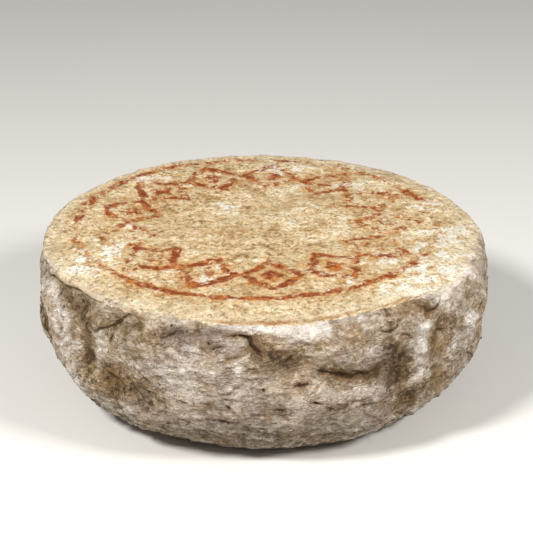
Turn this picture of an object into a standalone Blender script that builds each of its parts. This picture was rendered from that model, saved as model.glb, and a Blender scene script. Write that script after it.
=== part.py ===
"""A whole tomme: a thick round of pressed mountain cheese whose rind has sagged, creased and cracked
while it ripened.

Metres, +Z up. The origin is on the shelf under the middle of the round, and the front faces -Y.
A bearing is an angle round the wheel, measured from the front and positive towards +X.
"""

from collections import namedtuple
from math import atan2, cos, degrees, exp, hypot, pi, radians, sin
import random

import bmesh
import bpy
from mathutils import Vector, noise

# Driving dimensions
DIAMETER = 0.195
HEIGHT = 0.067
RADIUS = DIAMETER / 2

# Heights and radii worked out from them
WIDEST_HEIGHT = 0.49 * HEIGHT
FLAT_TOP_RADIUS = 0.935 * RADIUS
BASE_RADIUS = 0.70 * RADIUS
SHOULDER_POWER = 0.46
FOOT_POWER = 1.23

# How finely the round is turned
TURN_STEPS = 160
TOP_RINGS = 8
SHOULDER_RINGS = 14
FOOT_RINGS = 12
BASE_RINGS = 2
DENSE_POINTS = 400

# Unevenness of the whole round: (wavelength, height of the lumps)
SWELL = (0.075, 0.0022)
LUMPS = (0.024, 0.0016)
CRAGS = (0.010, 0.0009)
TOP_SWELL = (0.045, 0.0007)
TOP_LUMPS = (0.015, 0.0003)
RIM_LUMP_SHARE = 0.45
RIM_FROM_HEIGHT = 0.75 * HEIGHT
RIM_TO_HEIGHT = 0.97 * HEIGHT
SIDE_FROM_RADIUS = 0.985 * RADIUS
BASE_FADE_HEIGHT = 0.009
LEAST_CLEARANCE = 0.0002

# The shoulder is worn rounder on the right of the front than on the left
SHOULDER_WEAR = 0.0030
WEAR_BEARING = 40
WEAR_FROM_RADIUS = 0.82 * RADIUS
WEAR_TO_RADIUS = 0.98 * RADIUS
WEAR_FROM_HEIGHT = 0.80 * HEIGHT

# The top skin overhangs a crease on the left of the front, and ends in a low lip elsewhere, which is
# there only where its noise is above the first of LIP_SHOWS, and whole above the second
CREASE_DROP = 0.0075
CREASE_HALF_HEIGHT = 0.0032
CREASE_DEPTH = 0.0034
CREASE_FROM, CREASE_TO = -98, -30
CREASE_FADE = 16
LIP_DROP = 0.0030
LIP_HALF_HEIGHT = 0.0016
LIP_DEPTH = 0.0010
LIP_BREAKS = 0.035
LIP_SHOWS = (-0.2, 0.3)

# Folds in the side rind: where each starts and ends, as bearing and height, its half width, and its
# depth, which is negative for a ridge that stands out
Fold = namedtuple("Fold", "bearing_a height_a bearing_b height_b half_width depth")
FRONT_FOLDS = (
    Fold(-69, 0.058, -53, 0.026, 0.0055, -0.0022),
    Fold(-54, 0.060, -47, 0.036, 0.0060, 0.0034),
    Fold(-80, 0.047, -66, 0.022, 0.0060, 0.0020),
    Fold(-42, 0.054, -31, 0.061, 0.0030, 0.0015),
    Fold(-38, 0.034, -28, 0.031, 0.0060, 0.0017),
    Fold(-25, 0.057, -14, 0.060, 0.0040, 0.0016),
    Fold(-8, 0.060, 1, 0.059, 0.0028, 0.0013),
    Fold(0, 0.056, 7, 0.050, 0.0065, 0.0020),
    Fold(-20, 0.047, -6, 0.044, 0.0080, -0.0012),
    Fold(12, 0.044, 30, 0.040, 0.0045, 0.0026),
    Fold(31, 0.044, 35, 0.036, 0.0060, 0.0020),
    Fold(8, 0.035, 25, 0.031, 0.0060, -0.0013),
    Fold(41, 0.057, 39, 0.034, 0.0050, -0.0016),
    Fold(48, 0.052, 46, 0.032, 0.0050, 0.0018),
    Fold(68, 0.052, 53, 0.028, 0.0050, -0.0021),
    Fold(75, 0.046, 58, 0.024, 0.0050, 0.0020),
    Fold(16, 0.058, 34, 0.059, 0.0050, -0.0009),
)
BACK_FOLDS = 26
BACK_BEARINGS = (84, 272)
BACK_HEIGHTS = (0.022, 0.058)
BACK_HALF_WIDTHS = (0.0035, 0.0070)
BACK_DEPTHS = (-0.0021, 0.0030)
BACK_MOST_TURN = 12
BACK_MOST_FALL = 0.026
BACK_SEED = 14

RIND_COLOUR = (0.52, 0.44, 0.33, 1.0)
RIND_ROUGHNESS = 0.92


def clear_scene():
    for obj in list(bpy.data.objects):
        bpy.data.objects.remove(obj, do_unlink=True)


def smooth_share(low, high, value):
    """0 below low, 1 above high, with a smooth rise between them."""
    share = min(1.0, max(0.0, (value - low) / (high - low)))
    return share * share * (3 - 2 * share)


def evenly_spaced(points, count):
    """count + 1 points at equal steps along the line through points."""
    lengths = [0.0]
    for (r_a, z_a), (r_b, z_b) in zip(points, points[1:]):
        lengths.append(lengths[-1] + hypot(r_b - r_a, z_b - z_a))
    spaced = []
    at = 0
    for step in range(count + 1):
        wanted = lengths[-1] * step / count
        while at < len(points) - 2 and lengths[at + 1] < wanted:
            at += 1
        share = (wanted - lengths[at]) / (lengths[at + 1] - lengths[at])
        r_a, z_a = points[at]
        r_b, z_b = points[at + 1]
        spaced.append((r_a + share * (r_b - r_a), z_a + share * (z_b - z_a)))
    return spaced


def shoulder_curve():
    """From the edge of the flat top over the shoulder to the widest point, as a squarish quarter oval."""
    turns = [pi / 2 * (1 - step / DENSE_POINTS) for step in range(DENSE_POINTS + 1)]
    reach, rise = RADIUS - FLAT_TOP_RADIUS, HEIGHT - WIDEST_HEIGHT
    return [
        (
            FLAT_TOP_RADIUS + reach * max(0.0, cos(turn)) ** SHOULDER_POWER,
            WIDEST_HEIGHT + rise * sin(turn) ** SHOULDER_POWER,
        )
        for turn in turns
    ]


def foot_curve():
    """From the widest point, curving in under the wheel to the edge of the flat base."""
    turns = [pi / 2 * (1 - step / DENSE_POINTS) for step in range(DENSE_POINTS + 1)]
    reach = RADIUS - BASE_RADIUS
    return [
        (
            BASE_RADIUS + reach * sin(turn) ** FOOT_POWER,
            WIDEST_HEIGHT * (1 - max(0.0, cos(turn)) ** FOOT_POWER),
        )
        for turn in turns
    ]


def profile():
    """The turned outline, from the middle of the top down the outer side to the middle of the base."""
    top = [(FLAT_TOP_RADIUS * ring / TOP_RINGS, HEIGHT) for ring in range(TOP_RINGS)]
    shoulder = evenly_spaced(shoulder_curve(), SHOULDER_RINGS)
    foot = evenly_spaced(foot_curve(), FOOT_RINGS)
    base = [
        (BASE_RADIUS * (1 - ring / BASE_RINGS), 0.0) for ring in range(1, BASE_RINGS + 1)
    ]
    return top + shoulder + foot[1:] + base


def turned_round():
    """The plain round: the profile turned about the vertical axis, as one closed mesh."""
    points = [(r, 0.0, z) for r, z in profile()]
    edges = [(index, index + 1) for index in range(len(points) - 1)]
    mesh = bpy.data.meshes.new("wheel_profile")
    mesh.from_pydata(points, edges, [])
    blank = bpy.data.objects.new("wheel_blank", mesh)
    bpy.context.scene.collection.objects.link(blank)
    screw = blank.modifiers.new("turn", "SCREW")
    screw.axis = "Z"
    screw.angle = 2 * pi
    screw.steps = screw.render_steps = TURN_STEPS
    screw.use_merge_vertices = True
    screw.merge_threshold = 0.0001
    graph = bpy.context.evaluated_depsgraph_get()
    turned = bpy.data.meshes.new_from_object(blank.evaluated_get(graph))
    bpy.data.objects.remove(blank)
    bpy.data.meshes.remove(mesh)
    return turned


def back_folds():
    """Folds like the front's, scattered over the half of the side that faces away."""
    draw = random.Random(BACK_SEED)
    folds = []
    for index in range(BACK_FOLDS):
        share = (index + draw.uniform(0.1, 0.9)) / BACK_FOLDS
        bearing = BACK_BEARINGS[0] + share * (BACK_BEARINGS[1] - BACK_BEARINGS[0])
        height = draw.uniform(*BACK_HEIGHTS)
        folds.append(
            Fold(
                bearing,
                height,
                bearing + draw.uniform(-BACK_MOST_TURN, BACK_MOST_TURN),
                max(BACK_HEIGHTS[0], height - draw.uniform(0.0, BACK_MOST_FALL)),
                draw.uniform(*BACK_HALF_WIDTHS),
                draw.uniform(*BACK_DEPTHS),
            )
        )
    return folds


def distance_to_fold(bearing, height, fold):
    """How far a place on the side lies from a fold's line, measured along the rind."""
    def unrolled(other_bearing, other_height):
        turn = (other_bearing - bearing + 180) % 360 - 180
        return Vector((radians(turn) * RADIUS, other_height - height))

    start = unrolled(fold.bearing_a, fold.height_a)
    end = unrolled(fold.bearing_b, fold.height_b)
    run = end - start
    share = min(1.0, max(0.0, -start.dot(run) / run.length_squared))
    return (start + share * run).length


def fold_relief(bearing, height, folds):
    return -sum(
        fold.depth * exp(-((distance_to_fold(bearing, height, fold) / fold.half_width) ** 2))
        for fold in folds
    )


def lumps(place, wavelength, size):
    """Smooth lumps and dips of a wavelength, up to about size high."""
    return size * noise.noise(place / wavelength)


def edge_relief(place, bearing):
    """The crease that the top skin overhangs on the left, and the broken groove under the lip elsewhere."""
    creased = smooth_share(CREASE_FROM - CREASE_FADE, CREASE_FROM + CREASE_FADE, bearing)
    creased *= 1 - smooth_share(CREASE_TO - CREASE_FADE, CREASE_TO + CREASE_FADE, bearing)
    crease = exp(-(((HEIGHT - CREASE_DROP - place.z) / CREASE_HALF_HEIGHT) ** 2))
    lip = exp(-(((HEIGHT - LIP_DROP - place.z) / LIP_HALF_HEIGHT) ** 2))
    lip *= smooth_share(*LIP_SHOWS, noise.noise(place / LIP_BREAKS))
    return -creased * CREASE_DEPTH * crease - (1 - creased) * LIP_DEPTH * lip


def on_side(radius, height):
    """1 on the side rind and 0 on the flat top and base."""
    share = smooth_share(0.0, BASE_FADE_HEIGHT, height)
    if height > WIDEST_HEIGHT:
        share *= smooth_share(FLAT_TOP_RADIUS, SIDE_FROM_RADIUS, radius)
    return share


def relief(place, folds):
    """How far the rind stands out from the plain round at a place."""
    bearing = degrees(atan2(place.x, -place.y))
    radius = hypot(place.x, place.y)
    side = on_side(radius, place.z)
    rim = smooth_share(RIM_FROM_HEIGHT, RIM_TO_HEIGHT, place.z)
    uneven = lumps(place, *SWELL) + lumps(place, *LUMPS) + lumps(place, *CRAGS)
    uneven *= 1 - (1 - RIM_LUMP_SHARE) * rim
    raised = side * (uneven + fold_relief(bearing, place.z, folds) + edge_relief(place, bearing))
    if place.z > WIDEST_HEIGHT:
        raised += (1 - side) * (lumps(place, *TOP_SWELL) + lumps(place, *TOP_LUMPS))
        facing = 0.5 + 0.5 * cos(radians(bearing - WEAR_BEARING))
        shoulder = smooth_share(WEAR_FROM_RADIUS, WEAR_TO_RADIUS, radius)
        shoulder *= smooth_share(WEAR_FROM_HEIGHT, HEIGHT, place.z)
        raised -= SHOULDER_WEAR * facing * shoulder
    return raised


def give_relief(mesh):
    """Moves each point of the plain round in or out along its normal, and keeps the base flat."""
    folds = list(FRONT_FOLDS) + back_folds()
    shape = bmesh.new()
    shape.from_mesh(mesh)
    bmesh.ops.recalc_face_normals(shape, faces=shape.faces)
    shape.normal_update()
    moves = {vert: vert.normal * relief(vert.co, folds) for vert in shape.verts if vert.co.z > 0}
    for vert, move in moves.items():
        vert.co += move
        vert.co.z = max(vert.co.z, LEAST_CLEARANCE)
    shape.to_mesh(mesh)
    shape.free()


def centre_over_origin(mesh):
    """Puts the middle of the round's outline over the origin."""
    for axis in (0, 1):
        values = [vert.co[axis] for vert in mesh.vertices]
        middle = (min(values) + max(values)) / 2
        for vert in mesh.vertices:
            vert.co[axis] -= middle


def rind_material():
    material = bpy.data.materials.new("rind")
    material.use_nodes = True
    shader = material.node_tree.nodes["Principled BSDF"]
    shader.inputs["Base Color"].default_value = RIND_COLOUR
    shader.inputs["Roughness"].default_value = RIND_ROUGHNESS
    shader.inputs["Metallic"].default_value = 0.0
    return material


def build():
    clear_scene()
    collection = bpy.data.collections.new("tomme")
    bpy.context.scene.collection.children.link(collection)
    mesh = turned_round()
    mesh.name = "cheese_wheel"
    give_relief(mesh)
    centre_over_origin(mesh)
    mesh.materials.clear()
    mesh.materials.append(rind_material())
    mesh.shade_smooth()
    wheel = bpy.data.objects.new("cheese_wheel", mesh)
    collection.objects.link(wheel)


build()
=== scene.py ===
"""A whole tomme: a thick round of pressed mountain cheese with a cream top skin, a grey, mouldy side
rind and a worn stamp in red-brown plant ink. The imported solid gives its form, and this script gives
the rind its crags, cracks, flakes and colours.

Metres, +Z up, the front towards -Y. A bearing is an angle round the wheel from the front, positive
towards +X. Distances along the rind are in millimetres where a name ends in _mm.
"""

from math import atan, atan2, cos, hypot, pi, radians, sin
import random

import bmesh
import bpy
import numpy as np
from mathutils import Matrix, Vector, noise
from mathutils.bvhtree import BVHTree


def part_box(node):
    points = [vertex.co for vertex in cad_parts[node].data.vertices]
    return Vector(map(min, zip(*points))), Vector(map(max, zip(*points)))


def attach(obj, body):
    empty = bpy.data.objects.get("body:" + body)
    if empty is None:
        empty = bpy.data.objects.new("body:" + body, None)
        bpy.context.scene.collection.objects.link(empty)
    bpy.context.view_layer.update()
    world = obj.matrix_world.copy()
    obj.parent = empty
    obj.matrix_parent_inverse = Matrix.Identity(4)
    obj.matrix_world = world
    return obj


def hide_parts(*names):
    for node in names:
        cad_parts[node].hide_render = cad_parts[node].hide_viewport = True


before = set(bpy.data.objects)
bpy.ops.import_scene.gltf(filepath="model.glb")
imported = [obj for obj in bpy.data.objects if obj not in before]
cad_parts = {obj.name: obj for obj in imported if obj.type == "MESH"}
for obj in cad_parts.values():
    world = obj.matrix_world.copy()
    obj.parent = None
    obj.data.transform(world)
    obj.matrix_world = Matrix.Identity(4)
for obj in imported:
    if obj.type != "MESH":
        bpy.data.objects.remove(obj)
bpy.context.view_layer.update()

MM = 0.001
SOLID = "cheese_wheel"

# The wheel's own sizes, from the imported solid
LOW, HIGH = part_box(SOLID)
RADIUS = (HIGH.x - LOW.x) / 2
HEIGHT = HIGH.z - LOW.z
FLAT_TOP_RADIUS = 0.935 * RADIUS
BASE_RADIUS = 0.70 * RADIUS
WIDEST_HEIGHT = 0.49 * HEIGHT
SHOULDER_POWER = 0.46
FOOT_POWER = 1.23

# How many millimetres of the side's widest part a degree of bearing spans
ARC_MM = radians(1) * RADIUS / MM

# The core inside the wheel that the fine skin is cast out from on to the solid: its radius, and its
# lowest and highest places
CORE_RADIUS = 0.84 * RADIUS
CORE_LOW = 0.24 * HEIGHT
CORE_HIGH = 0.77 * HEIGHT

# The fine skin: cells across the top, rows down the side and rows in under the base
TOP_CELLS = 160
SIDE_ROWS = 109
BASE_ROWS = 5
OUTLINE_POINTS = 300


def new_object(name, data):
    """An object of its own in the scene."""
    made = bpy.data.objects.new(name, data)
    bpy.context.scene.collection.objects.link(made)
    return made


def smooth(low, high, values):
    """0 below low, 1 above high, with a smooth rise between them."""
    share = np.clip((values - low) / (high - low), 0.0, 1.0)
    return share * share * (3 - 2 * share)


def between(ends, values):
    """1 between two ends and 0 outside them, with a smooth rise at each."""
    return smooth(*ends[0], values) * smooth(*ends[1], values)


def mix(first, second, share):
    return first + (second - first) * share


def noise_at(places_mm, name):
    """One of the NOISES, about -1 to 1."""
    size_mm, octaves, squash, shift = NOISES[name]
    scaled = places_mm * (1 / size_mm) * np.array([1, 1, squash]) + shift
    return np.array([noise.fractal(place, 1.0, 2.0, octaves) for place in scaled.tolist()])


def ridges_at(places_mm, name):
    """Creased noise, 0 in the open and 1 along sharp crests."""
    return np.clip(1 - 2.2 * np.abs(noise_at(places_mm, name)), 0.0, 1.0)


# The noises that shape the rind: the size of a lump in millimetres, its finer detail, how far it is
# flattened into level streaks, and where it is read
NOISES = {
    "edge": (9, 4, 1, 4), "lumps": (13, 3, 1, 0), "broad_patches": (16, 3, 1, 33),
    "small_patches": (10, 3, 1, 36), "wrinkles": (9, 4, 2.6, 2), "creases": (8, 4, 1.6, 27),
    "grain": (2.4, 3, 1, 6), "swell": (11, 3, 1, 39), "bumps": (5, 3, 1, 3), "pucker": (5.5, 4, 1, 12),
    "sway_across": (4, 3, 1, 21), "sway_up": (4, 3, 1, 24), "stripe_patches": (7, 3, 1, 15),
    "flake_patches": (15, 3, 1, 30), "broad_scales": (17, 4, 1, 9), "small_scales": (9, 4, 1, 18),
}

# How far the side's streaks climb to the right across the front, as a slope, and the share of a scale's
# height that its face takes above its underside
STREAK_SLOPE = 0.22
SCALE_FACE = 0.8


def scales_at(places_mm, rise_mm, ragged, name):
    """Overlapping scales, 0 to 1: each stands out most at its ragged lower edge, over the one below."""
    climb = places_mm[:, 2] - STREAK_SLOPE * places_mm[:, 0]
    level = climb / rise_mm + ragged * noise_at(places_mm, name)
    part = level - np.floor(level)
    return np.where(part < SCALE_FACE, 1 - part / SCALE_FACE, smooth(SCALE_FACE, 1, part))


def side_outline():
    """Radius and height down the plain round's side, evenly spaced from the flat top to the base."""
    turn = np.linspace(pi / 2, 0, OUTLINE_POINTS)
    across, up = np.clip(np.cos(turn), 0, 1), np.sin(turn)
    shoulder = np.column_stack([
        FLAT_TOP_RADIUS + (RADIUS - FLAT_TOP_RADIUS) * across**SHOULDER_POWER,
        WIDEST_HEIGHT + (HEIGHT - WIDEST_HEIGHT) * up**SHOULDER_POWER,
    ])
    foot = np.column_stack([
        BASE_RADIUS + (RADIUS - BASE_RADIUS) * up**FOOT_POWER,
        WIDEST_HEIGHT * (1 - across**FOOT_POWER),
    ])
    line = np.vstack([shoulder, foot[1:]])
    lengths = np.append(0, np.cumsum(np.linalg.norm(np.diff(line, axis=0), axis=1)))
    wanted = np.linspace(0, lengths[-1], SIDE_ROWS + 1)
    rows = np.column_stack([np.interp(wanted, lengths, line[:, axis]) for axis in (0, 1)])
    return rows[1:], lengths[-1] / SIDE_ROWS


def disc_point(across, along):
    """Where a point of the square grid goes, so that its square rings become the disc's round ones."""
    reach = max(abs(across), abs(along))
    if reach == 0:
        return 0.0, 0.0
    if abs(across) >= abs(along):
        turn = pi / 4 * along / across + (pi if across < 0 else 0)
    else:
        turn = pi / 2 - pi / 4 * across / along + (pi if along < 0 else 0)
    return reach * FLAT_TOP_RADIUS * cos(turn), reach * FLAT_TOP_RADIUS * sin(turn)


def even_blank():
    """A plain round of even cells: a disc for the top, whose rim is drawn down the side and in below."""
    shape = bmesh.new()
    bmesh.ops.create_grid(shape, x_segments=TOP_CELLS, y_segments=TOP_CELLS, size=1.0)
    along = shape.verts.layers.float.new("from_middle")
    for vert in shape.verts:
        x, y = disc_point(vert.co.x, vert.co.y)
        vert.co = (x, y, HEIGHT)
        vert[along] = Vector((x, y)).length
    rows, row_step = side_outline()
    under = [(BASE_RADIUS * (1 - row / BASE_ROWS), 0.0) for row in range(1, BASE_ROWS)]
    rim = [edge for edge in shape.edges if edge.is_boundary]
    for number, (radius, height) in enumerate([*rows.tolist(), *under]):
        grown = bmesh.ops.extrude_edge_only(shape, edges=rim)["geom"]
        rim = [item for item in grown if isinstance(item, bmesh.types.BMEdge) and item.is_boundary]
        ring = [item for item in grown if isinstance(item, bmesh.types.BMVert)]
        for vert in ring:
            turn = atan2(vert.co.y, vert.co.x)
            vert.co = (radius * cos(turn), radius * sin(turn), height)
            vert[along] = FLAT_TOP_RADIUS + (number + 1) * row_step
    bmesh.ops.edgeloop_fill(shape, edges=rim)
    bmesh.ops.recalc_face_normals(shape, faces=shape.faces)

    # The faces in one fixed order, each from its lowest point on, since the flakes are scattered by them
    shape.verts.index_update()
    faces = [[vert.index for vert in face.verts] for face in shape.faces]
    faces = sorted(face[face.index(min(face)):] + face[:face.index(min(face))] for face in faces)
    mesh = bpy.data.meshes.new("rind")
    mesh.from_pydata([vert.co[:] for vert in shape.verts], [], faces)
    give_attribute(mesh, "from_middle", [vert[along] for vert in shape.verts])
    shape.free()
    return mesh


def smoothed_solid():
    """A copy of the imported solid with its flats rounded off, to lay the fine skin on."""
    shape = bmesh.new()
    shape.from_mesh(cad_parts[SOLID].data)
    bmesh.ops.remove_doubles(shape, verts=shape.verts, dist=0.01 * MM)
    bmesh.ops.join_triangles(
        shape, faces=shape.faces, angle_face_threshold=radians(50), angle_shape_threshold=radians(60)
    )
    mesh = bpy.data.meshes.new("smoothed_solid")
    shape.to_mesh(mesh)
    shape.free()
    solid = new_object("smoothed_solid", mesh)
    rounding = solid.modifiers.new("rounding", "SUBSURF")
    rounding.levels = rounding.render_levels = 2
    return solid


def fine_skin():
    """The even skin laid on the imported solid, as a plain mesh object, and how far each of its places
    stands out from the plain round, in millimetres."""
    skin = new_object("rind", even_blank())
    solid = smoothed_solid()
    surface = BVHTree.FromObject(solid, bpy.context.evaluated_depsgraph_get())
    plain = points_mm(skin.data)
    outward = normals(skin.data)
    for vert in skin.data.vertices:
        share = min(1.0, CORE_RADIUS / max(hypot(vert.co.x, vert.co.y), MM))
        core = Vector((vert.co.x * share, vert.co.y * share, min(max(vert.co.z, CORE_LOW), CORE_HIGH)))
        vert.co = surface.ray_cast(core, vert.co - core)[0]
    skin.data.update()
    stand_mm = ((points_mm(skin.data) - plain) * outward).sum(1)
    bpy.data.meshes.remove(solid.data)
    return skin, stand_mm


def points_mm(mesh):
    flat = np.zeros(len(mesh.vertices) * 3, np.float32)
    mesh.vertices.foreach_get("co", flat)
    return flat.reshape(-1, 3).astype(float) / MM


def normals(mesh):
    flat = np.zeros(len(mesh.vertices) * 3, np.float32)
    mesh.vertex_normals.foreach_get("vector", flat)
    return flat.reshape(-1, 3).astype(float)


# Cracks in the side rind: the places that each runs through, as bearing and height in millimetres,
# and its width and depth in millimetres
FRONT_CRACKS = (
    (((-43.6, 52.4), (-40.7, 55.3), (-38.3, 58), (-36.9, 58.9), (-33.9, 62.8)), 1.2, 1.7),
    (((-38.6, 50.3), (-37.9, 54.4)), 1.0, 1.0), (((-35.5, 51), (-34, 54)), 0.9, 0.7),
    (((-25.5, 57.6), (-22.5, 58.6), (-20, 60.8)), 1.2, 1.1),
    (((-8.1, 61.1), (-5.5, 61.4), (-3.7, 60.7), (-2.5, 58.3), (-1.4, 55.7), (-0.2, 54.1)), 1.6, 2.3),
    (((-12.4, 55.6), (-10.1, 57.7)), 1.2, 1.3), (((-10.1, 51.5), (-7.1, 53.3), (-5.4, 54.3)), 0.9, 0.8),
    (((4.9, 51.0), (6.9, 53.4)), 1.2, 1.2),
    (((27.8, 60), (29.3, 58.8), (31.3, 59.1), (33.4, 60.9)), 1.2, 1.4),
    (((40.6, 64.1), (43.2, 61.5), (46, 60.9), (47.7, 62.2)), 1.1, 1.2),
    (((46.2, 50.9), (48.9, 49.0)), 1.3, 1.4), (((6.8, 40.8), (8.6, 41.3), (10.8, 41.1)), 1.8, 2.0),
    (((13.2, 45.4), (16.8, 42.9), (20.4, 41.8), (24.4, 41.8), (28.5, 41.4)), 2.0, 2.2),
    (((-8.6, 31.8), (-7.9, 30.4)), 1.4, 1.4), (((-0.6, 39.2), (0.2, 39.6)), 1.2, 1.2),
    (((-40.8, 36), (-38.6, 34.2), (-36.2, 33)), 1.4, 1.2), (((-30, 38), (-27, 37.4)), 1.0, 0.8),
    (((-20.5, 33), (-17.5, 31.6)), 1.0, 0.9), (((-14, 24), (-9, 22.6), (-5, 23.2)), 1.2, 1.0),
    (((2, 30), (5, 29.2)), 1.0, 0.9), (((11, 33.5), (13.5, 33)), 1.2, 1.1),
    (((22, 27), (25, 28.4), (28, 28)), 1.0, 0.8), (((33, 56), (35.5, 55), (37, 52.5)), 1.0, 0.9),
    (((-76, 58.4), (-66.6, 61.6), (-57.9, 62.0), (-49.2, 62.8), (-43, 64.2)), 1.6, 1.2),
)

# The cracks round the rest of the side: how many there are, their bearings and heights, how far they
# lean at first and turn at each step, the step in degrees and millimetres, and their widths and depths
OTHER_CRACKS = 40
OTHER_BEARINGS = (58, 288)
OTHER_HEIGHTS_MM = (26, 62)
CRACK_LEAN = 0.7
CRACK_TURN = 0.6
CRACK_STEP = (2.6, 4.4)
OTHER_WIDTHS_MM = (0.7, 1.2)
OTHER_DEPTHS_MM = (0.6, 1.4)
CRACK_SEED = 5

# How far from a crack it still shows, how far it sways, the share of its depth that is cut, the half
# wave that it tapers along, and the rise and reach of its lip
CRACK_REACH_MM = 3.5
CRACK_SWAY_MM = 0.8
CRACK_CUT_SHARE = 0.7
CRACK_TAPER = (0.12, 0.76)
LIP_RISE_MM = 0.35
LIP_REACH_MM = 2.2


def scattered_cracks():
    """Cracks like the front's round the rest of the side."""
    draw = random.Random(CRACK_SEED)
    cracks = []
    for _ in range(OTHER_CRACKS):
        bearing, height = draw.uniform(*OTHER_BEARINGS), draw.uniform(*OTHER_HEIGHTS_MM)
        heading = draw.uniform(-CRACK_LEAN, CRACK_LEAN)
        places = [(bearing, height)]
        for _ in range(draw.choice((1, 2, 3))):
            heading += draw.uniform(-CRACK_TURN, CRACK_TURN)
            bearing += CRACK_STEP[0] * cos(heading)
            height += CRACK_STEP[1] * sin(heading)
            places.append((bearing, height))
        cracks.append((places, draw.uniform(*OTHER_WIDTHS_MM), draw.uniform(*OTHER_DEPTHS_MM)))
    return cracks


def crack_fields(place, bearing, height_mm):
    """For each point: the signed distance to its nearest crack, and that crack's width and depth."""
    bearing = bearing + CRACK_SWAY_MM * noise_at(place, "sway_across") / ARC_MM
    height_mm = height_mm + CRACK_SWAY_MM * noise_at(place, "sway_up")
    across = np.full(len(bearing), CRACK_REACH_MM)
    width, depth = np.ones(len(bearing)), np.zeros(len(bearing))
    for places, full_width, full_depth in [*FRONT_CRACKS, *scattered_cracks()]:
        bearings = [bearing for bearing, _ in places]
        middle = (min(bearings) + max(bearings)) / 2
        turn = (bearing - middle + 180) % 360 - 180
        spot = np.column_stack([turn * ARC_MM, height_mm])
        line = [np.array([(place[0] - middle) * ARC_MM, place[1]]) for place in places]
        total = len(line) - 1
        for number, (start, end) in enumerate(zip(line, line[1:])):
            run = end - start
            share = np.clip((spot - start) @ run / (run @ run), 0, 1)
            gap = spot - (start + share[:, None] * run)
            distance = np.linalg.norm(gap, axis=1)
            nearer = distance < np.abs(across)
            taper = np.sin(pi * (CRACK_TAPER[0] + CRACK_TAPER[1] * (number + share) / total))
            side = np.sign(run[0] * gap[:, 1] - run[1] * gap[:, 0])
            across[nearer] = (distance * np.where(side < 0, -1, 1))[nearer]
            width[nearer] = full_width
            depth[nearer] = (full_depth * taper)[nearer]
    return across, width, depth


# How far down the rind, in millimetres from the middle of the top, the cream skin gives way to the
# side's mould, by bearing, and over how many millimetres it does so
SKIN_EDGE = (
    (-110, 93, 5), (-75, 95, 5), (-61, 94, 6), (-48, 93, 6), (-35, 91, 6), (-24, 90, 5), (-16, 90, 2),
    (-11, 91.3, 0.8), (0, 91.2, 0.6), (9, 91.2, 0.6), (16, 90, 0.6), (25, 88.6, 0.7), (37, 88.7, 0.8),
    (46, 90.4, 1.0), (53, 91.3, 3), (60, 90, 5), (76, 89, 6), (95, 92, 4), (120, 93, 2), (150, 91, 3),
    (190, 93, 1.5), (225, 92, 4),
)
EDGE_UNEVEN_MM = 0.8

# The tan stripe along that edge, how far in it lies and half how wide it is, in millimetres, by bearing,
# and the pale line inside it; then the bearings between which the two fade in and out
STRIPE = ((-14, 2.0, 0.9), (-9, 2.3, 1.4), (9, 2.2, 1.5), (16, 1.9, 1.1), (25, 1.4, 0.7), (47, 1.0, 0.6))
PALE_LINE_MM = 4.4
PALE_LINE_HALF_MM = 0.7
STRIPE_ENDS = ((-16, -10), (58, 46))
PALE_LINE_ENDS = ((12, 20), (54, 44))

# White powder on the top: each spot's place from the middle, its radius in millimetres and its strength
POWDER_SPOTS = (
    (-46, -64, 4, 1.0), (47, -31, 6, 1.0), (33, -50, 5, 0.8), (-22, -52, 4, 0.7), (86, -21, 12, 1.2),
    (77, -25, 13, 1.3), (80, -40, 12, 1.2), (84, -8, 14, 1.2), (72, -52, 10, 1.1), (62, -40, 7, 0.7),
    (-73, -36, 9, 0.6), (-64, -21, 7, 0.7), (52, -60, 7, 0.6), (60, -66, 8, 0.8),
    (-12, 30, 8, 0.5), (38, 48, 7, 0.8), (-50, 62, 6, 0.7), (8, 74, 8, 0.6), (70, 30, 8, 0.7),
)

# How much of the stamp's ink is left, 0 to 1, by bearing
INK_LEFT = (
    (-150, 0.65), (-120, 0.7), (-95, 0.45), (-75, 0.35), (-62, 0.5), (-48, 0.8), (20, 0.8), (40, 0.65),
    (70, 0.5), (85, 0.35), (120, 0.5), (160, 0.55),
)


def powder_field(place):
    """How thickly white powder lies at each place on the top."""
    field = np.zeros(len(place))
    for x, y, radius, strength in POWDER_SPOTS:
        distance = np.hypot(place[:, 0] - x, place[:, 1] - y)
        field = np.maximum(field, strength * np.exp(-((distance / radius) ** 2)))
    return field


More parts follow.
